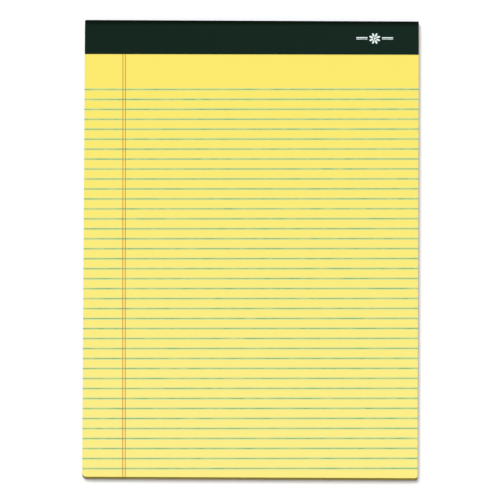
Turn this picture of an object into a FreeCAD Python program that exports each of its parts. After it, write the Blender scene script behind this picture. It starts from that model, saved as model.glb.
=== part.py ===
import FreeCAD
import Part
import math
import os

# Writing pad: ruled yellow sheets on a stiff board, stapled through the head,
# with a strip of dark tape folded over the head from the front to the back.
# Lengths are in millimetres. The pad lies on its back, with +Z up out of the
# ruled face and +Y towards the head. The origin is the middle of the back.

# The trimmed pad, tape and all
pad_width = 215.9
pad_length = 298.45

# Sheets and board
sheet_count = 100
sheet_thickness = 0.09
board_thickness = 1.3

# Corners at the foot, seen from the front
foot_left_radius = 2.6
foot_right_radius = 1.6

# Tape: how far it comes down the front and the back, and how it folds
tape_thickness = 0.2
tape_front_depth = 22.2
tape_back_depth = 19.0
tape_fold_radius = 0.5

# Staples, driven from the front, their ends folded towards each other on the back
staple_count = 4
staple_crown = 12.7
staple_tip_gap = 3.5
staple_bend_radius = 0.4
staple_wire_thickness = 0.5
staple_wire_width = 0.7
staple_from_head = 9.5
staple_from_side = 27.0

# Perforation through the sheets, just below the tape
slit_length = 1.0
slit_width = 0.12
slit_tie = 0.5
slits_from_tape = 0.4

# Printed ruling, from the tape's lower edge down
ink_thickness = 0.05
rule_width = 0.7
rule_pitch = 6.513
first_rule_from_tape = 22.95
least_bare_foot = 5.0

# Printed double margin line, from the left cut edge to the middle of its first line
margin_line_from_side = 25.4
margin_line_gap = 1.62
margin_line_width = 0.5

# The printing runs a little out of square with the cut edges, anticlockwise
print_skew_degrees = 0.3

# Foil ornament on the tape: a rosette between two pairs of short rules
foil_thickness = 0.05
ornament_from_side = 28.5
rosette_petals = 8
rosette_eye_radius = 0.7
petal_from_eye = 0.4
petal_length = 2.6
petal_spacing = 0.6
bar_length = 7.2
bar_gap = 1.0
thick_bar = 0.7
thin_bar = 0.3
bar_spacing = 1.0

# Levels and edges that the pieces share
sheets_thickness = sheet_count * sheet_thickness
sheets_top = board_thickness + sheets_thickness
pad_top = sheets_top + tape_thickness
side = pad_width / 2
head = pad_length / 2
foot = -pad_length / 2
inner_head = head - tape_thickness
front_flap_edge = head - tape_front_depth
back_flap_edge = head - tape_back_depth
writing_middle = (front_flap_edge + foot) / 2
staple_row = head - staple_from_head
print_reach = pad_width + pad_length

# Each fold is no rounder than the wall that it is folded over
front_fold_radius = min(tape_fold_radius, 0.9 * sheets_thickness)
back_fold_radius = min(tape_fold_radius, 0.9 * (board_thickness - tape_thickness))
flat_front_end = inner_head - front_fold_radius
ornament_middle = (flat_front_end + front_flap_edge) / 2


def in_plan(u, v):
    """Point of an outline drawn looking down on the pad."""
    return FreeCAD.Vector(u, v, 0)


def in_side_view(u, v):
    """Point of an outline drawn looking at the pad's left side, u towards the head."""
    return FreeCAD.Vector(-side, u, v)


def in_head_view(u, v):
    """Point of an outline drawn across the pad, on the line of the staples."""
    return FreeCAD.Vector(u, staple_row - staple_wire_width / 2, v)


def outline(corners, view):
    """Face inside (u, v, radius) corners, each one rounded by its own radius."""
    places = [view(u, v) for u, v, radius in corners]
    edges = []
    ends = []
    for index, (u, v, radius) in enumerate(corners):
        corner = places[index]
        if radius == 0:
            ends.append((corner, corner))
            continue
        back = (places[index - 1] - corner).normalize()
        onward = (places[(index + 1) % len(places)] - corner).normalize()
        half_angle = back.getAngle(onward) / 2
        inward = (back + onward).normalize()
        start = corner + back * (radius / math.tan(half_angle))
        end = corner + onward * (radius / math.tan(half_angle))
        middle = corner + inward * (radius / math.sin(half_angle) - radius)
        edges.append(Part.Arc(start, middle, end).toShape())
        ends.append((start, end))
    for index, (start, end) in enumerate(ends):
        edges.append(Part.makeLine(ends[index - 1][1], start))
    return Part.Face(Part.Wire(Part.__sortEdges__(edges)))


def trimmed(shape, upper_end):
    """The shape cut to the pad's plan, with its rounded corners at the foot."""
    plan = outline(
        [
            (-side, foot, foot_left_radius),
            (side, foot, foot_right_radius),
            (side, upper_end, 0),
            (-side, upper_end, 0),
        ],
        in_plan,
    )
    return shape.common(plan.extrude(FreeCAD.Vector(0, 0, pad_top)))


def across_pad(profile):
    """Solid as wide as the pad from a profile in the side view."""
    return profile.extrude(FreeCAD.Vector(pad_width, 0, 0))


def staple():
    """One staple: crown on top, two legs, and their ends folded in under the board."""
    low = tape_thickness
    high = sheets_top
    wire = staple_wire_thickness
    inner = staple_bend_radius
    outer = inner + wire
    reach = staple_crown / 2
    tip = staple_tip_gap / 2
    ring = outline(
        [
            (-tip, low, 0),
            (-reach, low, outer),
            (-reach, high, outer),
            (reach, high, outer),
            (reach, low, outer),
            (tip, low, 0),
            (tip, low + wire, 0),
            (reach - wire, low + wire, inner),
            (reach - wire, high - wire, inner),
            (wire - reach, high - wire, inner),
            (wire - reach, low + wire, inner),
            (-tip, low + wire, 0),
        ],
        in_head_view,
    )
    return ring.extrude(FreeCAD.Vector(0, staple_wire_width, 0))


def staples():
    """The row of staples through the head, evenly spaced between the outer two."""
    pitch = (pad_width - 2 * staple_from_side) / max(staple_count - 1, 1)
    row = []
    for index in range(staple_count):
        place = (index - (staple_count - 1) / 2) * pitch
        row.append(staple().translated(FreeCAD.Vector(place, 0, 0)))
    return Part.makeCompound(row)


def slits():
    """The perforation's cuts, in a row centred on the pad, right through sheets and ink."""
    pitch = slit_length + slit_tie
    count = int(pad_width / pitch)
    lower_side = front_flap_edge - slits_from_tape - slit_width / 2
    row = []
    for index in range(count):
        left = (index - (count - 1) / 2) * pitch - slit_length / 2
        corner = FreeCAD.Vector(left, lower_side, board_thickness)
        row.append(Part.makeBox(slit_length, slit_width, pad_top - board_thickness, corner))
    return Part.makeCompound(row)


def backing_board():
    """Stiff board, pressed thinner at the head so that the tape lies flush with its back."""
    profile = outline(
        [
            (foot, 0, 0),
            (back_flap_edge, 0, 0),
            (back_flap_edge, tape_thickness, 0),
            (inner_head, tape_thickness, back_fold_radius),
            (inner_head, board_thickness, 0),
            (foot, board_thickness, 0),
        ],
        in_side_view,
    )
    return trimmed(across_pad(profile), inner_head).cut(staples())


def page_block():
    """The sheets as one block, its front edge at the head rounded by the folded tape."""
    profile = outline(
        [
            (foot, board_thickness, 0),
            (inner_head, board_thickness, 0),
            (inner_head, sheets_top, front_fold_radius),
            (foot, sheets_top, 0),
        ],
        in_side_view,
    )
    return trimmed(across_pad(profile), inner_head).cut([staples(), slits()])


def binding_tape():
    """Tape glued down the front, over the head and down the back."""
    profile = outline(
        [
            (front_flap_edge, sheets_top, 0),
            (front_flap_edge, pad_top, 0),
            (head, pad_top, front_fold_radius + tape_thickness),
            (head, 0, back_fold_radius + tape_thickness),
            (back_flap_edge, 0, 0),
            (back_flap_edge, tape_thickness, 0),
            (inner_head, tape_thickness, back_fold_radius),
            (inner_head, sheets_top, front_fold_radius),
        ],
        in_side_view,
    )
    return across_pad(profile)


def ink(low_corner, long, wide):
    """Thin bar of ink on the top sheet."""
    return Part.makeBox(long, wide, ink_thickness, FreeCAD.Vector(*low_corner, sheets_top))


def printed(bars):
    """The bars turned out of square as the printing is, and cut off where the sheet ends."""
    centre = FreeCAD.Vector(0, writing_middle, 0)
    sheet = Part.makeCompound(bars)
    sheet.rotate(centre, FreeCAD.Vector(0, 0, 1), print_skew_degrees)
    return trimmed(sheet, front_flap_edge)


def rule_lines():
    """Every rule from cut edge to cut edge, as many as leave the foot bare."""
    first = front_flap_edge - first_rule_from_tape
    rule_count = 1 + int((first - foot - least_bare_foot) / rule_pitch)
    bars = []
    for index in range(rule_count):
        lower_side = first - index * rule_pitch - rule_width / 2
        bars.append(ink((-print_reach / 2, lower_side), print_reach, rule_width))
    return printed(bars)


def margin_lines():
    """The double line down the left, let into by each rule that crosses it."""
    bars = []
    for index in range(2):
        left = -side + margin_line_from_side + index * margin_line_gap - margin_line_width / 2
        lower_end = writing_middle - print_reach / 2
        bars.append(ink((left, lower_end), margin_line_width, print_reach))
    return printed(bars).cut([rule_lines(), slits()])


def petal(turn):
    """One petal of the rosette, an ellipse standing off the eye, turned about it."""
    centre = rosette_eye_radius + petal_from_eye + petal_length / 2
    width = 2 * centre * math.sin(math.pi / rosette_petals) - petal_spacing
    leaf = Part.Ellipse(FreeCAD.Vector(centre, 0, 0), petal_length / 2, width / 2)
    face = Part.Face(Part.Wire(leaf.toShape()))
    face.rotate(FreeCAD.Vector(0, 0, 0), FreeCAD.Vector(0, 0, 1), turn)
    return face.extrude(FreeCAD.Vector(0, 0, foil_thickness))


def foil_ornament():
    """Rosette with a thick and a thin short rule on each side of it."""
    pieces = [Part.makeCylinder(rosette_eye_radius, foil_thickness)]
    for index in range(rosette_petals):
        pieces.append(petal((index + 0.5) * 360 / rosette_petals))
    rosette_reach = rosette_eye_radius + petal_from_eye + petal_length
    for low_end in (rosette_reach + bar_gap, -rosette_reach - bar_gap - bar_length):
        for middle, width in ((bar_spacing / 2, thick_bar), (-bar_spacing / 2, thin_bar)):
            corner = FreeCAD.Vector(low_end, middle - width / 2, 0)
            pieces.append(Part.makeBox(bar_length, width, foil_thickness, corner))
    place = FreeCAD.Vector(side - ornament_from_side, ornament_middle, pad_top)
    return Part.makeCompound(pieces).translated(place)


def save(name, shape):
    """Write one sub-part under its node's name."""
    shape.exportStep("parts/" + name + ".step")
    print(name, len(shape.Solids), "solids", round(shape.Volume, 3), "mm3", shape.isValid())


os.makedirs("parts", exist_ok=True)
save("backing_board", backing_board())
save("page_block", page_block())
save("staples", staples())
save("binding_tape", binding_tape())
save("rule_lines", rule_lines())
save("margin_lines", margin_lines())
save("foil_ornament", foil_ornament())
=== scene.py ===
import logging
import math
import random
from collections.abc import Iterator, Sequence
from dataclasses import dataclass
from enum import Enum

import bmesh
import bpy
from mathutils import Matrix, Vector


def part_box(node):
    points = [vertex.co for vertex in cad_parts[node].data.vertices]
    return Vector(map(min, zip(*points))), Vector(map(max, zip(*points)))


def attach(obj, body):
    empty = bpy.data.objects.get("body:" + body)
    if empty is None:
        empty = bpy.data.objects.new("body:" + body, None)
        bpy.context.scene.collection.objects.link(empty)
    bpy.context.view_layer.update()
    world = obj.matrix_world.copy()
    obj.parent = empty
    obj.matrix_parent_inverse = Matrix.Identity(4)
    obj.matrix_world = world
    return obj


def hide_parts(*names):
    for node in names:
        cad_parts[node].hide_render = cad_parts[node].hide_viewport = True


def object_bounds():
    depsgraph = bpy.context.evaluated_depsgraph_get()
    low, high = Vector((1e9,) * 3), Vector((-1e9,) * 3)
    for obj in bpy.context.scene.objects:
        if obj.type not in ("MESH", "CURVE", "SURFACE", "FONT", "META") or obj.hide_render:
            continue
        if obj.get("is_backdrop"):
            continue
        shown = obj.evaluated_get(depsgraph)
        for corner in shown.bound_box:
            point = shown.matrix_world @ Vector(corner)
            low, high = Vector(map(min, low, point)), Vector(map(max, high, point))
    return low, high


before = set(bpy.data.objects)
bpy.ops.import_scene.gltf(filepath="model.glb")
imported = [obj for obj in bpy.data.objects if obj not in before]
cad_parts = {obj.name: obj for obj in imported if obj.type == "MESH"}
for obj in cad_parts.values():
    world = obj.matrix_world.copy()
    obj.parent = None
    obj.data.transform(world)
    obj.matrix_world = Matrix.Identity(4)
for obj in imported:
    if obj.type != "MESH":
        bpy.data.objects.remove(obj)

LOG = logging.getLogger("pad")
MM = 0.001
CLOSE = 0.01 * MM  # a point within this of a place or a level lies on it

Colour = tuple[float, float, float]
Stretch = tuple[float, float, float]
Span = tuple[float, float]


class Axis(Enum):
    """A direction of the pad's frame, as an index into a point."""

    ACROSS = 0
    UP_THE_PAGE = 1
    OUT_OF_THE_PAGE = 2


class Nodes:
    """A tree that nodes are added to."""

    def __init__(self, tree: bpy.types.NodeTree) -> None:
        """Wraps the nodes of a material or of the surround."""
        self.tree = tree

    def node(
        self, kind: str, settings: dict | None = None, sockets: dict | None = None
    ) -> bpy.types.Node:
        """Adds any node.

        Args:
            kind: its type.
            settings: its properties, which are set first.
            sockets: values or links of its inputs, by name, identifier or index.

        Returns:
            The new node.
        """
        made = self.tree.nodes.new(kind)
        for name, value in (settings or {}).items():
            setattr(made, name, value)
        for name, value in (sockets or {}).items():
            self.feed(self._input(made, name), value)
        return made

    def _input(self, node: bpy.types.Node, name: int | str) -> bpy.types.NodeSocket:
        """Finds one of a node's inputs.

        Args:
            node: the node.
            name: the input's index, identifier or name.

        Returns:
            The input.
        """
        if isinstance(name, int):
            return node.inputs[name]
        found = [socket for socket in node.inputs if socket.identifier == name]
        return found[0] if found else node.inputs[name]

    def feed(self, socket: bpy.types.NodeSocket, value: object) -> None:
        """Sets a socket, or links it.

        Args:
            socket: an input.
            value: a number, a colour, a vector, a Value or an output socket.
        """
        if isinstance(value, Value):
            self.tree.links.new(value.socket, socket)
        elif isinstance(value, bpy.types.NodeSocket):
            self.tree.links.new(value, socket)
        elif socket.type == "RGBA" and len(value) == 3:
            socket.default_value = (*value, 1.0)
        else:
            socket.default_value = value


class Value:
    """A socket that gives a number, with arithmetic that adds Math nodes."""

    def __init__(self, nodes: Nodes, socket: bpy.types.NodeSocket) -> None:
        """Wraps an output that gives a number, of a node in that tree."""
        self.nodes = nodes
        self.socket = socket

    def _math(self, operation: str, first: "Number", second: "Number") -> "Value":
        """The result of a new Math node that works on two numbers or sockets."""
        made = self.nodes.node("ShaderNodeMath", {"operation": operation}, {0: first, 1: second})
        return Value(self.nodes, made.outputs[0])

    def __add__(self, other: "Number") -> "Value":
        """Sum."""
        return self._math("ADD", self, other)

    __radd__ = __add__

    def __sub__(self, other: "Number") -> "Value":
        """Difference."""
        return self._math("SUBTRACT", self, other)

    def __rsub__(self, other: "Number") -> "Value":
        """Difference, from a number."""
        return self._math("SUBTRACT", other, self)

    def __mul__(self, other: "Number") -> "Value":
        """Product."""
        return self._math("MULTIPLY", self, other)

    __rmul__ = __mul__

    def __abs__(self) -> "Value":
        """Size without its sign."""
        return self._math("ABSOLUTE", self, 0.0)

    def __lt__(self, other: "Number") -> "Value":
        """1 where the value is less than the other, and 0 elsewhere."""
        return self._math("LESS_THAN", self, other)

    def __gt__(self, other: "Number") -> "Value":
        """1 where the value is more than the other, and 0 elsewhere."""
        return self._math("GREATER_THAN", self, other)

    def from_nearest(self, pitch: float) -> "Value":
        """Distance to the nearest whole multiple of pitch."""
        return self._math("PINGPONG", self, pitch / 2)


Number = float | Value


class Shader(Nodes):
    """One material's nodes around a Principled surface."""

    def __init__(self, name: str) -> None:
        """Starts an empty material.

        Args:
            name: the material's name.
        """
        self.material = bpy.data.materials.new(name)
        self.material.use_nodes = True
        super().__init__(self.material.node_tree)
        self.tree.nodes.clear()
        self.surface = self.node("ShaderNodeBsdfPrincipled")
        self.node("ShaderNodeOutputMaterial", {}, {"Surface": self.surface.outputs["BSDF"]})
        self.place = self.node("ShaderNodeTexCoord").outputs["Object"]

    def along(self, axis: Axis) -> Value:
        """The point's place along one axis, in metres."""
        split = self.node("ShaderNodeSeparateXYZ", {}, {"Vector": self.place})
        return Value(self, split.outputs[axis.value])

    def stretched(self, stretch: Stretch) -> bpy.types.NodeSocket:
        """The point's place, with each axis multiplied by its own number."""
        sockets = {0: self.place, 1: stretch}
        return self.node("ShaderNodeVectorMath", {"operation": "MULTIPLY"}, sockets).outputs[0]

    def noise(self, grain: float, detail: float, stretch: Stretch = (1.0, 1.0, 1.0)) -> Value:
        """Soft noise from 0 to 1.

        Args:
            grain: size of its lumps, in metres.
            detail: how many finer octaves it has.
            stretch: multiplies the point's place first, so 0.1 draws lumps out ten times.

        Returns:
            The noise.
        """
        made = self.node(
            "ShaderNodeTexNoise",
            {"noise_dimensions": "3D"},
            {"Vector": self.stretched(stretch), "Scale": 1 / grain, "Detail": detail},
        )
        return Value(self, made.outputs["Fac"])

    def cells(self, grain: float) -> Value:
        """Small uneven cells.

        Args:
            grain: how wide a cell is, about, in metres.

        Returns:
            The distance from the cells' edges, as a share of that width.
        """
        made = self.node(
            "ShaderNodeTexVoronoi",
            {"feature": "DISTANCE_TO_EDGE"},
            {"Vector": self.place, "Scale": 1 / grain},
        )
        return Value(self, made.outputs["Distance"])

    def ramp(self, value: Number, low: float, high: float) -> Value:
        """A share that rises smoothly from 0 to 1.

        Args:
            value: what it follows.
            low: at this value or less it is 0.
            high: at this value or more it is 1.

        Returns:
            The share.
        """
        made = self.node(
            "ShaderNodeMapRange",
            {"interpolation_type": "SMOOTHSTEP"},
            {"Value": value, "From Min": low, "From Max": high},
        )
        return Value(self, made.outputs["Result"])

    def mix(self, share: Number, first: object, second: object) -> bpy.types.NodeSocket:
        """A colour between two.

        Args:
            share: 0 for the first, 1 for the second.
            first: a colour or a socket.
            second: the other one.

        Returns:
            The mixed colour's socket.
        """
        made = self.node(
            "ShaderNodeMix",
            {"data_type": "RGBA", "clamp_factor": True},
            {"Factor_Float": share, "A_Color": first, "B_Color": second},
        )
        return next(socket for socket in made.outputs if socket.identifier == "Result_Color")

    def relief(self, height: Value, depth: float) -> None:
        """Gives the surface fine relief.

        Args:
            height: from 0 to 1.
            depth: what 1 stands for, in metres.
        """
        sockets = {"Strength": 1.0, "Distance": depth, "Height": height}
        bump = self.node("ShaderNodeBump", {}, sockets)
        self.feed(self.surface.inputs["Normal"], bump.outputs["Normal"])

    def finish(self, **sockets: object) -> bpy.types.Material:
        """Sets the surface's inputs, with _ for each space in a name.

        Returns:
            The material.
        """
        for name, value in sockets.items():
            self.feed(self.surface.inputs[name.replace("_", " ")], value)
        return self.material


@dataclass(frozen=True)
class Ruling:
    """How the printing lies on the page, for what it does to the paper and where it crosses."""

    pitch: float = 6.513 * MM
    rule_width: float = 0.7 * MM
    margin_gap: float = 1.62 * MM
    margin_width: float = 0.5 * MM
    skew: float = math.radians(0.3)
    beyond: float = 1.0 * MM

    def _off_rule(self, shader: Shader) -> Value:
        """How far the nearest rule is, with rules carried on over the whole page.

        Args:
            shader: what to add the nodes to.

        Returns:
            The distance from the rule's middle.
        """
        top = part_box("rule_lines")[1]
        middle = top.y - top.x * math.tan(self.skew) - self.rule_width / 2
        straight = shader.along(Axis.UP_THE_PAGE) - shader.along(Axis.ACROSS) * math.tan(self.skew)
        return (straight - middle).from_nearest(self.pitch)

    def near_rule(self, shader: Shader, start: float, end: float) -> Value:
        """How near a rule is.

        Args:
            shader: what to add the nodes to.
            start: up to this distance from a rule's middle the share is 1.
            end: from this distance on it is 0.

        Returns:
            The share, which is 0 further than `beyond` above the first rule or below the last.
        """
        low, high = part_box("rule_lines")
        up_page = shader.along(Axis.UP_THE_PAGE)
        among = (up_page > low.y - self.beyond) * (up_page < high.y + self.beyond)
        return (1 - shader.ramp(self._off_rule(shader), start, end)) * among

    def on_margin(self, shader: Shader) -> Value:
        """1 on the two margin lines, whether or not a rule covers them, and 0 elsewhere.

        Args:
            shader: what to add the nodes to.

        Returns:
            The share.
        """
        low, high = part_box("margin_lines")
        below_head = shader.along(Axis.UP_THE_PAGE) - high.y
        straight = shader.along(Axis.ACROSS) + below_head * math.tan(self.skew)
        inside = straight - (low.x + self.margin_width / 2)
        near = (inside > -self.margin_width) * (inside < self.margin_gap + self.margin_width)
        return near * (inside.from_nearest(self.margin_gap) < self.margin_width / 2)


@dataclass(frozen=True)
class CanaryPaper:
    """Yellow writing paper: soft cloudy tone, fine fibres, layered cut edges with painted shade,
    and painted light paling the face towards the foot.
    """

    # at_head to at_foot: painted light, the face paler towards the foot
    at_head: Colour = (0.692, 0.588, 0.103)
    at_foot: Colour = (0.702, 0.611, 0.172)
    shade: Colour = (0.61, 0.505, 0.07)
    # the cut edges' own slightly darker tone, darkened further with painted shade for sides turned
    # from the light
    shaded_cut_edge: Colour = (0.53, 0.42, 0.055)
    bled_ink: Colour = (0.18, 0.28, 0.09)
    feathered_ink: Colour = (0.26, 0.52, 0.42)
    fibre: float = 0.35 * MM
    fibre_relief: float = 0.004 * MM
    cloud: float = 9 * MM
    mottle: float = 0.10
    shade_share: float = 0.03
    feather: Span = (0.25 * MM, 1.25 * MM)
    feather_share: float = 0.5
    layer: float = 0.5 * MM
    layer_stretch: Stretch = (0.02, 0.02, 3.0)
    layer_share: float = 0.6
    bleed: Span = (0.15 * MM, 0.5 * MM)
    bleed_lump: float = 0.3 * MM
    bleed_share: float = 0.35
    face_depth: float = 0.03 * MM
    ruling: Ruling = Ruling()

    def material(self, head: float, foot: float, top: float) -> bpy.types.Material:
        """Builds the paper.

        Args:
            head: the sheets' upper end.
            foot: their lower end.
            top: the top sheet's face.

        Returns:
            The material.
        """
        shader = Shader("canary_paper")
        fibres = shader.noise(self.fibre, 4)
        below = shader.along(Axis.OUT_OF_THE_PAGE) < top - self.face_depth
        shader.relief(fibres, self.fibre_relief)
        face = self._face(shader, fibres, head, foot)
        return shader.finish(
            # under the top face: the cut edges, in their tone with painted shade
            Base_Color=shader.mix(below, face, self._edge(shader)),
            Roughness=0.82 + fibres * 0.1,
            Specular_IOR_Level=0.25,
        )

    def _face(
        self, shader: Shader, fibres: Value, head: float, foot: float
    ) -> bpy.types.NodeSocket:
        """The top sheet's tone, paler towards the foot with painted light, with the rules' ink
        feathered into it.

        Args:
            shader: what to add the nodes to.
            fibres: the paper's fine grain.
            head: the sheets' upper end.
            foot: their lower end.

        Returns:
            The colour's socket.
        """
        # painted light: the face grows paler from the head down to the foot
        up_page = shader.ramp(shader.along(Axis.UP_THE_PAGE), foot, head)
        tone = shader.mix(up_page, self.at_foot, self.at_head)
        uneven = (fibres - 0.5) + (shader.noise(self.cloud, 3) - 0.5)
        tone = shader.mix(uneven * self.mottle + self.shade_share, tone, self.shade)
        feathered = self.ruling.near_rule(shader, *self.feather) * self.feather_share
        return shader.mix(feathered, tone, self.feathered_ink)

    def _edge(self, shader: Shader) -> bpy.types.NodeSocket:
        """The cut edges' tone, partly painted shade: layers, and faint upright marks where the
        rules run off.

        Args:
            shader: what to add the nodes to.

        Returns:
            The colour's socket.
        """
        layers = shader.noise(self.layer, 2, self.layer_stretch)
        tone = shader.mix(layers * self.layer_share, self.shaded_cut_edge, self.shade)
        bled = self.ruling.near_rule(shader, *self.bleed) * shader.noise(self.bleed_lump, 2)
        return shader.mix(bled * self.bleed_share, tone, self.bled_ink)


@dataclass(frozen=True)
class GrainedTape:
    """Dark green binding paper with a pressed leather grain, rubbed folds, and painted shade and
    light.
    """

    ground: Colour = (0.0036, 0.0135, 0.0085)
    # painted light: the tape lighter towards its right end
    painted_light_right: Colour = (0.0044, 0.0160, 0.0105)
    # painted shade in the grain's pressed grooves
    groove_shade: Colour = (0.0016, 0.0065, 0.004)
    # painted shade along the front fold, where the tape turns away from the light
    stretched: Colour = (0.0001, 0.0030, 0.0008)
    rubbed: Colour = (0.02, 0.045, 0.034)
    core: Colour = (0.07, 0.085, 0.07)
    grain: float = 0.9 * MM
    groove_width: float = 0.22
    fine_grain: float = 0.25 * MM
    relief: float = 0.03 * MM
    painted_light_share: float = 0.8
    groove_shade_share: float = 0.35
    fold_shade_share: float = 0.9
    fold_shade_reach: Span = (1.2 * MM, 4.0 * MM)
    fold_line: float = 0.3 * MM
    wear_reach: float = 0.8 * MM
    rubbing: Span = (0.5, 0.75)
    rubbed_share: float = 0.5
    core_depth: float = 0.3
    core_share: float = 0.6

    def material(self, low: Vector, high: Vector, thickness: float) -> bpy.types.Material:
        """Builds the tape's finish.

        Args:
            low: the tape's lowest corner.
            high: its highest corner, at the head and on the right.
            thickness: the tape's own.

        Returns:
            The material.
        """
        shader = Shader("green_tape")
        grain = shader.ramp(shader.cells(self.grain), 0.0, self.groove_width)
        fine = shader.noise(self.fine_grain, 3)
        across = shader.along(Axis.ACROSS)
        # painted light: lighter towards the tape's right end
        painted_light = shader.ramp(across, low.x, high.x) * self.painted_light_share
        tone = shader.mix(painted_light, self.ground, self.painted_light_right)
        # painted shade in the grain's grooves
        tone = shader.mix((1 - grain) * self.groove_shade_share, tone, self.groove_shade)
        # painted shade along the front fold, where the tape turns away from the light
        fold_shade = self._fold_shade(shader, high) * self.fold_shade_share
        tone = shader.mix(fold_shade, tone, self.stretched)
        wear = self._fold_wear(shader, low, high) * shader.ramp(fine, *self.rubbing)
        tone = shader.mix(wear * self.rubbed_share, tone, self.rubbed)
        cut = abs(across) > high.x - self.core_depth * thickness
        shader.relief(grain * 0.7 + fine * 0.3, self.relief)
        return shader.finish(
            Base_Color=shader.mix(cut * self.core_share, tone, self.core),
            Roughness=0.76 - grain * 0.08,
            Specular_IOR_Level=0.04,
        )

    def _fold_shade(self, shader: Shader, high: Vector) -> Value:
        """Painted shade along the front fold, where the tape turns away from the light.

        Args:
            shader: what to add the nodes to.
            high: the tape's highest corner, at the head.

        Returns:
            The share, which is 1 at the fold and fades down the front and down the head.
        """
        below_head = shader.ramp(high.y - shader.along(Axis.UP_THE_PAGE), *self.fold_shade_reach)
        below_top = shader.ramp(high.z - shader.along(Axis.OUT_OF_THE_PAGE), *self.fold_shade_reach)
        return (1 - below_head) * (1 - below_top)

    def _fold_wear(self, shader: Shader, low: Vector, high: Vector) -> Value:
        """Where the two folds are rubbed.

        Args:
            shader: what to add the nodes to.
            low: the tape's lowest corner, at the back.
            high: its highest corner, at the head.

        Returns:
            The share, which is 1 on the folds and fades down and up the head's wall.
        """
        level = shader.along(Axis.OUT_OF_THE_PAGE)
        off_front = shader.ramp(high.z - level, self.fold_line, self.wear_reach)
        off_back = shader.ramp(level - low.z, 0.0, self.wear_reach)
        off_wall = shader.ramp(high.y - shader.along(Axis.UP_THE_PAGE), 0.0, self.fold_line)
        return (2 - off_front - off_back) * (1 - off_wall)


@dataclass(frozen=True)
class Chipboard:
    """Stiff grey-brown board made from waste paper, with flecks and a fibrous cut edge."""

    ground: Colour = (0.30, 0.25, 0.185)
    pale: Colour = (0.47, 0.42, 0.34)
    dark: Colour = (0.12, 0.09, 0.065)
    fibre: float = 0.6 * MM
    fibre_stretch: Stretch = (1.0, 0.35, 1.0)
    relief: float = 0.05 * MM
    cloud: float = 14 * MM
    dark_fleck: float = 0.8 * MM
    dark_flecks: Span = (0.66, 0.74)
    pale_fleck: float = 1.36 * MM
    pale_flecks: Span = (0.69, 0.76)
    pale_share: float = 0.8

    def material(self) -> bpy.types.Material:
        """Builds the board's finish.

        Returns:
            The material.
        """
        shader = Shader("chipboard")
        fibres = shader.noise(self.fibre, 5, self.fibre_stretch)
        clouds = shader.noise(self.cloud, 3)
        tone = shader.mix(fibres * 0.5 + clouds * 0.3, self.ground, self.pale)
        dark = shader.ramp(shader.noise(self.dark_fleck, 1), *self.dark_flecks)
        tone = shader.mix(dark, tone, self.dark)
        pale = shader.ramp(shader.noise(self.pale_fleck, 1), *self.pale_flecks) * self.pale_share
        shader.relief(fibres, self.relief)
        return shader.finish(
            Base_Color=shader.mix(pale, tone, self.pale), Roughness=0.9, Specular_IOR_Level=0.2
        )


@dataclass(frozen=True)
class RulingInk:
    """Thin ink that the paper shows through a little, unevenly along a line."""

    name: str
    ink: Colour
    thin: Colour
    uneven: float
    overprint: Colour = (0.20, 0.16, 0.03)
    patch: float = 7 * MM
    fine_grain: float = 0.2 * MM
    fine_uneven: float = 0.35
    thin_share: float = 0.3
    overprint_share: float = 0.85
    overprint_edge: float = 1.1
    ruling: Ruling = Ruling()

    def material(self) -> bpy.types.Material:
        """Builds the ink, darker where a rule is printed over a margin line.

        Returns:
            The material.
        """
        shader = Shader(self.name)
        patches = (shader.noise(self.patch, 3) - 0.5) * self.uneven
        fine = (shader.noise(self.fine_grain, 2) - 0.5) * self.fine_uneven
        tone = shader.mix(patches + fine + self.thin_share, self.ink, self.thin)
        half = self.ruling.rule_width / 2
        on_rule = self.ruling.near_rule(shader, half, half * self.overprint_edge)
        crossed = self.ruling.on_margin(shader) * on_rule * self.overprint_share
        return shader.finish(
            Base_Color=shader.mix(crossed, tone, self.overprint),
            Roughness=0.75,
            Specular_IOR_Level=0.25,
        )


RULE_INK = RulingInk(
    name="rule_ink", ink=(0.14, 0.33, 0.09), thin=(0.53, 0.54, 0.11), uneven=1.7
)
MARGIN_INK = RulingInk(
    name="margin_ink", ink=(0.42, 0.10, 0.01), thin=(0.60, 0.30, 0.035), uneven=0.4
)


@dataclass(frozen=True)
class SilverFoil:
    """Stamped silver foil, pressed into the grain."""

    bright: Colour = (0.36, 0.41, 0.41)
    dull: Colour = (0.18, 0.24, 0.23)
    patch: float = 0.5 * MM
    dulling: Span = (0.45, 0.75)
    grain: float = 0.4 * MM
    relief: float = 0.01 * MM

    def material(self) -> bpy.types.Material:
        """Builds the foil.

        Returns:
            The material.
        """
        shader = Shader("silver_foil")
        wear = shader.ramp(shader.noise(self.patch, 4), *self.dulling)
        shader.relief(shader.noise(self.grain, 2), self.relief)
        tone = shader.mix(wear, self.bright, self.dull)
        return shader.finish(Base_Color=tone, Metallic=0.35, Roughness=0.45 + wear * 0.2)


@dataclass(frozen=True)
class StapleWire:
    """Galvanised flat wire with drawn streaks."""

    bright: Colour = (0.60, 0.60, 0.61)
    streak: Colour = (0.42, 0.42, 0.44)
    streak_width: float = 0.3 * MM
    streak_stretch: Stretch = (0.1, 1.0, 0.1)

    def material(self) -> bpy.types.Material:
        """Builds the wire's finish.

        Returns:
            The material.
        """
        shader = Shader("staple_wire")
        streaks = shader.noise(self.streak_width, 3, self.streak_stretch)
        tone = shader.mix(streaks, self.bright, self.streak)
        return shader.finish(Base_Color=tone, Metallic=1.0, Roughness=0.3 + streaks * 0.15)


@dataclass(frozen=True)
class StandIn:
    """A piece's name, the plain node that it stands for, and its material's slot."""

    name: str
    node: str
    slot: str


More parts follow.
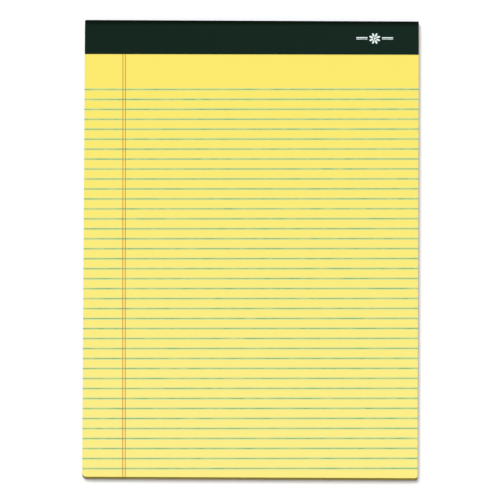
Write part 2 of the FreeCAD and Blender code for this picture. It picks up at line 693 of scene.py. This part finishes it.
class Workbench:
    """Steps that more than one piece is made with."""

    @staticmethod
    def grow(
        bm: bmesh.types.BMesh, face: bmesh.types.BMFace, step: Vector, keep: bool = False
    ) -> bmesh.types.BMFace:
        """Extrudes one face.

        Args:
            bm: the mesh.
            face: what to extrude.
            step: how far, and where to.
            keep: whether the face stays behind as a wall.

        Returns:
            The moved face.
        """
        grown = bmesh.ops.extrude_face_region(bm, geom=[face], use_keep_orig=keep)["geom"]
        moved = next(g for g in grown if isinstance(g, bmesh.types.BMFace))
        bmesh.ops.translate(bm, verts=moved.verts, vec=step)
        return moved

    @staticmethod
    def round_corner(
        bm: bmesh.types.BMesh, near: Vector, radius: float, segments: int = 6
    ) -> bmesh.types.BMFace:
        """Rounds the flat outline's corner that lies nearest to a point.

        Args:
            bm: the mesh, which has no other face yet.
            near: a point at or close to the corner.
            radius: the rounding.
            segments: how many edges it has.

        Returns:
            The outline's face.
        """
        corner = min(bm.verts, key=lambda vert: (vert.co - near).length)
        bmesh.ops.bevel(
            bm,
            geom=[corner],
            offset=radius,
            segments=segments,
            profile=0.5,
            affect="VERTICES",
            material=-1,
        )
        return next(iter(bm.faces))

    @staticmethod
    def part(
        bm: bmesh.types.BMesh,
        faces: Sequence[bmesh.types.BMFace],
        point: Vector,
        normal: Vector,
    ) -> list[bmesh.types.BMFace]:
        """Parts some faces along a plane, without taking anything away.

        Args:
            bm: the mesh.
            faces: what to part.
            point: a point of the plane.
            normal: the plane's normal.

        Returns:
            The faces on both sides of the plane.
        """
        edges = {edge for face in faces for edge in face.edges}
        verts = {vert for face in faces for vert in face.verts}
        geom = [*faces, *edges, *verts]
        cut = bmesh.ops.bisect_plane(bm, geom=geom, plane_co=point, plane_no=normal, dist=1e-9)
        return [g for g in cut["geom"] if isinstance(g, bmesh.types.BMFace)]

    @staticmethod
    def piece(
        bm: bmesh.types.BMesh,
        stand_in: StandIn,
        material: bpy.types.Material,
        smooth: float = 0.0,
    ) -> bpy.types.Object:
        """Turns a finished mesh into a piece that rides on the pad in a plain node's place.

        Args:
            bm: the mesh, which is freed.
            stand_in: what the piece is called and what it stands for.
            material: its finish.
            smooth: edges that turn by less than this angle are shaded smooth.

        Returns:
            The piece.
        """
        bmesh.ops.recalc_face_normals(bm, faces=bm.faces)
        for face in bm.faces:
            face.smooth = smooth > 0
        for edge in bm.edges:
            edge.smooth = len(edge.link_faces) == 2 and edge.calc_face_angle(math.pi) < smooth
        mesh = bpy.data.meshes.new(stand_in.name)
        bm.to_mesh(mesh)
        bm.free()
        mesh.materials.append(material)
        made = bpy.data.objects.new(stand_in.name, mesh)
        bpy.context.scene.collection.objects.link(made)
        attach(made, "root")
        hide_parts(stand_in.node)
        LOG.info("%s: %d faces", stand_in.name, len(mesh.polygons))
        return made

    @staticmethod
    def dress(node: str, material: bpy.types.Material) -> None:
        """Gives a carried-over node its finish.

        Args:
            node: its name.
            material: the finish.
        """
        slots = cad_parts[node].data.materials
        slots.clear()
        slots.append(material)
        LOG.info("%s: dressed", node)


def back_flap_edge() -> float:
    """Finds where the tape's flap on the back ends, from the flap's own flat face.

    Returns:
        The place, up the page.
    """
    points = [vert.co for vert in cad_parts["binding_tape"].data.vertices]
    bottom = min(point.z for point in points)
    return min(point.y for point in points if point.z < bottom + CLOSE)


def across_of(point: Vector) -> float:
    """A point's place across the pad."""
    return point.x


@dataclass(frozen=True)
class Fold:
    """The tape's fold, which rounds the edge of whatever it is folded over."""

    radius: float = 0.5 * MM
    segments: int = 5

    def setback(self, rise: float) -> float:
        """How far the rounded edge lies behind the head wall, at a rise above its start."""
        held = max(0.0, min(rise, self.radius))
        return self.radius - math.sqrt(self.radius**2 - held**2)

    def rises(self) -> list[float]:
        """Heights of the rounding's segments, above the place where it starts."""
        turn = math.pi / 2 / self.segments
        return [self.radius * math.sin((index + 1) * turn) for index in range(self.segments)]


@dataclass(frozen=True)
class Knock:
    """The head's left corner, seen from the front, knocked round in handling."""

    radius: float = 1.1 * MM
    segments: int = 8
    stiff: float = 0.8 * MM
    reach: float = 4.4 * MM

    def places(self, left: float) -> list[float]:
        """Places across the pad, from its left side on, where the corner's segments meet."""
        turn = math.pi / 2 / self.segments
        return [left + self.radius * (1 - math.cos((i + 1) * turn)) for i in range(self.segments)]

    def push_in(self, bm: bmesh.types.BMesh, left: float, head: float) -> None:
        """Pushes a straight strip's end in behind the rounding.

        Args:
            bm: the strip's mesh, which has vertices at each of the places.
            left: the strip's left end.
            head: its upper end.
        """
        for place in [left, *self.places(left)]:
            inside = self.radius - (place - left)
            depth = self.radius - math.sqrt(max(self.radius**2 - inside**2, 0.0))
            for vert in bm.verts:
                if abs(vert.co.x - place) < CLOSE:
                    share = (vert.co.y - head + self.reach) / (self.reach - self.stiff)
                    vert.co.y -= depth * max(0.0, min(share, 1.0))


@dataclass(frozen=True)
class Trim:
    """The plan that board and sheets are trimmed to, with its worn corners."""

    foot_left_radius: float = 2.6 * MM
    foot_right_radius: float = 1.6 * MM
    knock: Knock = Knock()

    def plate(
        self, bm: bmesh.types.BMesh, low: Vector, high: Vector, level: float
    ) -> bmesh.types.BMFace:
        """A flat face in the trimmed plan.

        Args:
            bm: the mesh to add it to.
            low: one corner, of which x and y are used.
            high: the opposite corner.
            level: its height.

        Returns:
            The face, which looks up.
        """
        middle = (low + high) / 2
        half = (high - low) / 2
        size = Matrix.Diagonal((half.x, half.y, 1, 1))
        place = Matrix.Translation((middle.x, middle.y, level)) @ size
        bmesh.ops.create_grid(bm, x_segments=1, y_segments=1, size=1, matrix=place)
        Workbench.round_corner(bm, Vector((low.x, low.y, level)), self.foot_left_radius)
        Workbench.round_corner(bm, Vector((high.x, low.y, level)), self.foot_right_radius)
        knocked = Vector((low.x, high.y, level))
        return Workbench.round_corner(bm, knocked, self.knock.radius, self.knock.segments)

    def at_head(self, face: bmesh.types.BMFace, head: float) -> list[bmesh.types.BMVert]:
        """The vertices of a face in this plan that lie under the fold."""
        return [vert for vert in face.verts if vert.co.y > head - 2 * self.knock.radius]


@dataclass
class SheetStack:
    """The sheets, each with its own edge, and the perforation in the top one."""

    count: int = 100
    seam_depth: float = 0.05 * MM
    seam_share: float = 0.12
    drift: float = 0.07 * MM
    drift_step: float = 0.35
    seed: int = 7
    slit_length: float = 1.0 * MM
    slit_tie: float = 0.5 * MM
    slit_width: float = 0.12 * MM
    slit_from_tape: float = 0.4 * MM
    slit_depth: float = 0.5 * MM
    trim: Trim = Trim()
    fold: Fold = Fold()
    paper: CanaryPaper = CanaryPaper()
    stand_in: StandIn = StandIn("sheet_stack", "page_block", "canary_paper")

    def build(self) -> bpy.types.Object:
        """Builds the stack and lets it stand for the plain block.

        Returns:
            The piece.
        """
        low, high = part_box("page_block")
        bm = bmesh.new()
        face = self._pile(bm, self.trim.plate(bm, low, high, low.z), low, high)
        self._perforate(bm, face, low, high)
        material = self.paper.material(high.y, low.y, high.z)
        return Workbench.piece(bm, self.stand_in, material)

    def _rings(self, low: Vector, high: Vector) -> Iterator[tuple[float, float, float, float]]:
        """The outlines that the stack's wall passes through, from the lowest sheet up.

        Args:
            low: the block's lowest corner.
            high: its highest corner.

        Yields:
            Height, inset from the trimmed plan, and drift across and up the page.
        """
        chance = random.Random(self.seed)
        thickness = (high.z - low.z) / self.count
        across, up_page = 0.0, 0.0
        for index in range(self.count):
            outer = index in (0, self.count - 1)
            across = self._wander(across, chance)
            up_page = self._wander(up_page, chance)
            inset, place = (0.0, (0.0, 0.0)) if outer else (self.drift, (across, up_page))
            bottom = low.z + index * thickness
            if index:
                yield bottom, inset + self.seam_depth, *place
                yield bottom + thickness * self.seam_share, inset, *place
            yield bottom + thickness, inset, *place

    def _wander(self, value: float, chance: random.Random) -> float:
        """A sheet's drift, from that of the sheet below it."""
        moved = value + chance.uniform(-self.drift_step, self.drift_step) * self.drift
        return max(-self.drift, min(self.drift, moved))

    def _pile(
        self, bm: bmesh.types.BMesh, face: bmesh.types.BMFace, low: Vector, high: Vector
    ) -> bmesh.types.BMFace:
        """Piles sheet on sheet from the lowest face.

        Args:
            bm: the mesh.
            face: the underside of the lowest sheet.
            low: the block's lowest corner.
            high: its highest corner.

        Returns:
            The face of the top sheet.
        """
        size = high - low
        centre = Vector(((low.x + high.x) / 2, (low.y + high.y) / 2, low.z))
        width, length, setback = 1.0, 1.0, 0.0
        for level, inset, across, up_page in self._rings(low, high):
            place = Vector((across, up_page, level))
            place.xy += (low.xy + high.xy) / 2
            face = Workbench.grow(bm, face, place - centre, keep=len(bm.faces) == 1)
            centre = place
            step = Vector((1 - 2 * inset / size.x, 1 - 2 * inset / size.y, 1))
            bmesh.ops.scale(
                bm,
                verts=face.verts,
                vec=(step.x / width, step.y / length, 1),
                space=Matrix.Translation(-centre),
            )
            width, length = step.xy
            drawn_back = self.fold.setback(level - (high.z - self.fold.radius))
            under_fold = self.trim.at_head(face, high.y)
            bmesh.ops.translate(bm, verts=under_fold, vec=(0, setback - drawn_back, 0))
            setback = drawn_back
        return face

    def _perforate(
        self, bm: bmesh.types.BMesh, face: bmesh.types.BMFace, low: Vector, high: Vector
    ) -> None:
        """Cuts the row of slits into the top sheet, just below the tape.

        Args:
            bm: the mesh.
            face: the top sheet's face.
            low: the block's lowest corner.
            high: its highest corner.
        """
        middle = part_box("binding_tape")[0].y - self.slit_from_tape
        half = self.slit_width / 2
        band = [face]
        for edge in (middle - half, middle + half):
            band = Workbench.part(bm, band, Vector((0, edge, high.z)), Vector((0, 1, 0)))
        band = [part for part in band if abs(part.calc_center_median().y - middle) < half]
        pitch = self.slit_length + self.slit_tie
        count = int((high.x - low.x) / pitch)
        for index in range(count):
            start = (index - (count - 1) / 2) * pitch - self.slit_length / 2
            for end in (start, start + self.slit_length):
                band = Workbench.part(bm, band, Vector((end, middle, high.z)), Vector((1, 0, 0)))
        area = self.slit_length * self.slit_width
        slits = [part for part in band if math.isclose(part.calc_area(), area, rel_tol=0.01)]
        sunk = bmesh.ops.extrude_discrete_faces(bm, faces=slits)["faces"]
        bottoms = [vert for part in sunk for vert in part.verts]
        bmesh.ops.translate(bm, verts=bottoms, vec=(0, 0, -self.slit_depth))


@dataclass
class Tape:
    """The tape: flap on the front, fold over the head, flap on the back."""

    step: float = 1.0 * MM
    front_cuts: int = 44
    crown_rise: float = 0.035 * MM
    crown_half_width: float = 0.9 * MM
    apart: float = 15 * MM
    askew: float = math.radians(0.14)
    smooth_to: float = math.radians(35)
    fold: Fold = Fold()
    knock: Knock = Knock()
    finish: GrainedTape = GrainedTape()
    stand_in: StandIn = StandIn("folded_tape", "binding_tape", "green_tape")

    def build(self) -> bpy.types.Object:
        """Builds the tape and lets it stand for the plain one.

        Returns:
            The piece.
        """
        low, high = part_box("binding_tape")
        thickness = high.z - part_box("page_block")[1].z
        bm = bmesh.new()
        face = self._profile(bm, low, high, thickness)
        for place in self._steps(low.x, high.x):
            step = Vector((place - face.verts[0].co.x, 0, 0))
            face = Workbench.grow(bm, face, step, keep=len(bm.faces) == 1)
        self._raise_over_crowns(bm, high.z)
        self._lay_askew(bm, low, high, thickness)
        self.knock.push_in(bm, low.x, high.y)
        material = self.finish.material(low, high, thickness)
        return Workbench.piece(bm, self.stand_in, material, self.smooth_to)

    def _profile(
        self, bm: bmesh.types.BMesh, low: Vector, high: Vector, thickness: float
    ) -> bmesh.types.BMFace:
        """The folded strip's section, at the pad's left side.

        Args:
            bm: the mesh.
            low: the tape's lowest corner.
            high: its highest corner.
            thickness: its own.

        Returns:
            The section, as a face.
        """
        inner_top, inner_bottom = high.z - thickness, low.z + thickness
        inner_head = high.y - thickness
        back_edge = back_flap_edge()
        corners = [
            (low.y, inner_top),
            (low.y, high.z),
            (high.y, high.z),
            (high.y, low.z),
            (back_edge, low.z),
            (back_edge, inner_bottom),
            (inner_head, inner_bottom),
            (inner_head, inner_top),
        ]
        face = bm.faces.new([bm.verts.new((low.x, y, z)) for y, z in corners])
        bmesh.ops.subdivide_edges(bm, edges=[face.loops[1].edge], cuts=self.front_cuts)
        outer = self.fold.radius + thickness
        for y, z, radius in (
            (high.y, high.z, outer),
            (high.y, low.z, outer),
            (inner_head, inner_bottom, self.fold.radius),
            (inner_head, inner_top, self.fold.radius),
        ):
            face = Workbench.round_corner(bm, Vector((low.x, y, z)), radius, self.fold.segments)
        return face

    def _steps(self, start: float, end: float) -> list[float]:
        """Places where the section is repeated, closer together at the knocked corner.

        Args:
            start: the pad's left side.
            end: its right side.

        Returns:
            The places across the pad, from the left.
        """
        places = self.knock.places(start)
        first = places[-1]
        count = int((end - first) / self.step)
        return places + [first + (index + 1) * (end - first) / count for index in range(count)]

    def _lay_askew(
        self, bm: bmesh.types.BMesh, low: Vector, high: Vector, thickness: float
    ) -> None:
        """Turns the front flap's lower edge a touch out of square, anticlockwise.

        Args:
            bm: the mesh.
            low: the tape's lowest corner.
            high: its highest corner.
            thickness: its own.
        """
        start = high.y - thickness - self.fold.radius
        for vert in bm.verts:
            if vert.co.z > high.z - thickness - CLOSE and vert.co.y < start:
                share = (start - vert.co.y) / (start - low.y)
                vert.co.y += vert.co.x * math.tan(self.askew) * share

    def _raise_over_crowns(self, bm: bmesh.types.BMesh, top: float) -> None:
        """Lets each staple's crown show faintly through the front flap.

        Args:
            bm: the mesh.
            top: the flap's face.
        """
        crowns = self._crowns()
        for vert in [vert for vert in bm.verts if vert.co.z > top - CLOSE]:
            away = min(self._away(vert.co, crown) for crown in crowns) / self.crown_half_width
            vert.co.z += self.crown_rise * math.exp(-away * away)

    @staticmethod
    def _away(point: Vector, crown: tuple[Vector, Vector]) -> float:
        """Distance from a point to the middle line of a crown, seen from the front.

        Args:
            point: the point.
            crown: the staple's left and right end.

        Returns:
            The distance.
        """
        low, high = crown
        past = max(low.x - point.x, point.x - high.x, 0.0)
        return math.hypot(past, point.y - (low.y + high.y) / 2)

    def _crowns(self) -> list[tuple[Vector, Vector]]:
        """Finds the staples, told apart by the gaps between them.

        Returns:
            The left and right end of each.
        """
        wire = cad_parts["staples"].data.vertices
        points = sorted((vert.co for vert in wire), key=across_of)
        groups = [[points[0]]]
        for point in points[1:]:
            if point.x - groups[-1][-1].x > self.apart:
                groups.append([])
            groups[-1].append(point)
        return [(group[0], group[-1]) for group in groups]


@dataclass
class Board:
    """The stiff board, pressed thinner under the tape, its cut edges a little soft."""

    edge_softness: float = 0.1 * MM
    softened_from: float = math.radians(60)
    smooth_to: float = math.radians(40)
    trim: Trim = Trim()
    fold: Fold = Fold()
    finish: Chipboard = Chipboard()
    stand_in: StandIn = StandIn("stiff_board", "backing_board", "chipboard")

    def build(self) -> bpy.types.Object:
        """Builds the board and lets it stand for the plain one.

        Returns:
            The piece.
        """
        low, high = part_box("backing_board")
        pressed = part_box("staples")[0].z
        bm = bmesh.new()
        face = self._pressed_to(bm, self.trim.plate(bm, low, high, high.z), high, pressed)
        edge = Vector((0, back_flap_edge(), pressed))
        parts = Workbench.part(bm, [face], edge, Vector((0, 1, 0)))
        under = min(parts, key=lambda part: part.calc_center_median().y)
        Workbench.grow(bm, under, Vector((0, 0, low.z - pressed)))
        bmesh.ops.recalc_face_normals(bm, faces=bm.faces)
        sharp = [edge for edge in bm.edges if edge.calc_face_angle(0) > self.softened_from]
        bmesh.ops.bevel(
            bm,
            geom=sharp,
            offset=self.edge_softness,
            segments=2,
            profile=0.5,
            affect="EDGES",
            material=-1,
        )
        material = self.finish.material()
        return Workbench.piece(bm, self.stand_in, material, self.smooth_to)

    def _pressed_to(
        self, bm: bmesh.types.BMesh, face: bmesh.types.BMFace, high: Vector, pressed: float
    ) -> bmesh.types.BMFace:
        """Takes the board down from its upper face to the pressed level, rounded by the fold.

        Args:
            bm: the mesh.
            face: the upper face.
            high: the board's highest corner.
            pressed: the height that it is pressed to under the tape.

        Returns:
            The face at the pressed level.
        """
        level, setback = high.z, 0.0
        for rise in [0.0, *self.fold.rises()]:
            lower = pressed + self.fold.radius - rise
            face = Workbench.grow(bm, face, Vector((0, 0, lower - level)), keep=level == high.z)
            drawn_back = self.fold.setback(rise)
            under_fold = self.trim.at_head(face, high.y)
            bmesh.ops.translate(bm, verts=under_fold, vec=(0, setback - drawn_back, 0))
            level, setback = lower, drawn_back
        return face


@dataclass
class Studio:
    """Pale floor, a soft main light a little to the head and left of upright, and the camera."""

    tilt: float = math.radians(9.05)
    roll: float = math.radians(0.263)
    distance: float = 10.0
    pixels_per_metre: float = 1550.1
    frame_pixels: float = 500.0
    sensor: float = 36.0
    aim: tuple[float, float] = (-0.00055, -0.00104)
    floor_size: float = 16.0
    floor_gap: float = 0.05 * MM
    floor_colour: Colour = (0.795, 0.80, 0.83)
    main_light: float = 2.55
    light_spread: float = math.radians(18)
    lean_to_head: float = math.radians(9)
    lean_to_left: float = math.radians(6.5)
    overhead: float = 0.85
    low_down: float = 0.12

    def build(self) -> None:
        """Sets up the floor, the lights, the camera and the picture's plain tone."""
        self._floor()
        self._light()
        self._surround()
        self._camera()
        bpy.context.scene.view_settings.view_transform = "Standard"

    def _floor(self) -> None:
        """A plain floor, a hair under the pad so that the two surfaces don't meet."""
        bm = bmesh.new()
        place = Matrix.Translation((0, 0, -self.floor_gap))
        bmesh.ops.create_grid(
            bm, x_segments=1, y_segments=1, size=self.floor_size / 2, matrix=place
        )
        mesh = bpy.data.meshes.new("floor")
        bm.to_mesh(mesh)
        bm.free()
        shader = Shader("floor")
        finish = shader.finish(Base_Color=self.floor_colour, Roughness=1.0, Specular_IOR_Level=0.0)
        mesh.materials.append(finish)
        floor = bpy.data.objects.new("floor", mesh)
        bpy.context.scene.collection.objects.link(floor)
        floor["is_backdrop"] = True

    def _light(self) -> None:
        """A broad, distant main light."""
        data = bpy.data.lights.new("main_light", "SUN")
        data.energy = self.main_light
        data.angle = self.light_spread
        light = bpy.data.objects.new("main_light", data)
        towards = Vector((-math.tan(self.lean_to_left), math.tan(self.lean_to_head), 1))
        light.rotation_euler = towards.to_track_quat("Z", "Y").to_euler()
        bpy.context.scene.collection.objects.link(light)

    def _surround(self) -> None:
        """A room that is bright overhead and dim low down, and white where the camera sees it."""
        world = bpy.data.worlds.new("surround")
        world.use_nodes = True
        nodes = Nodes(world.node_tree)
        towards = nodes.node("ShaderNodeTexCoord").outputs["Generated"]
        split = nodes.node("ShaderNodeSeparateXYZ", {}, {"Vector": towards})
        by_height = nodes.node(
            "ShaderNodeMapRange",
            {},
            {"Value": split.outputs["Z"], "To Min": self.low_down, "To Max": self.overhead},
        )
        seen = nodes.node("ShaderNodeLightPath").outputs["Is Camera Ray"]
        strength = nodes.node(
            "ShaderNodeMapRange",
            {},
            {"Value": seen, "To Min": by_height.outputs["Result"], "To Max": 1.0},
        )
        background = world.node_tree.nodes["Background"]
        nodes.feed(background.inputs["Strength"], strength.outputs["Result"])
        nodes.feed(background.inputs["Color"], (1.0, 1.0, 1.0))
        bpy.context.scene.world = world

    def _camera(self) -> None:
        """A long lens, leaning a little towards the foot."""
        data = bpy.data.cameras.new("camera")
        data.sensor_width = self.sensor
        data.lens = self.sensor * self.pixels_per_metre * self.distance / self.frame_pixels
        data.clip_end = 100
        camera = bpy.data.objects.new("camera", data)
        turn = Matrix.Rotation(self.tilt, 3, "X") @ Matrix.Rotation(self.roll, 3, "Z")
        aim = Vector((*self.aim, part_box("binding_tape")[1].z))
        camera.rotation_euler = turn.to_euler()
        camera.location = aim + turn @ Vector((0, 0, self.distance))
        bpy.context.scene.collection.objects.link(camera)
        bpy.context.scene.camera = camera


def corners(bounds: tuple[Vector, Vector]) -> list[list[float]]:
    """A box's two corners as plain lists."""
    return [list(corner) for corner in bounds]


def main() -> None:
    """Builds the pad's pieces in order, dresses the rest and sets up the studio."""
    logging.basicConfig(level=logging.INFO, format="%(name)s: %(message)s")
    solid_box = corners(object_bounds())
    Board().build()
    SheetStack().build()
    Tape().build()
    Workbench.dress("rule_lines", RULE_INK.material())
    Workbench.dress("margin_lines", MARGIN_INK.material())
    Workbench.dress("foil_ornament", SilverFoil().material())
    Workbench.dress("staples", StapleWire().material())
    Studio().build()
    {"solids": solid_box, "dressed": corners(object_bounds())}


if __name__ == "__main__":
    main()
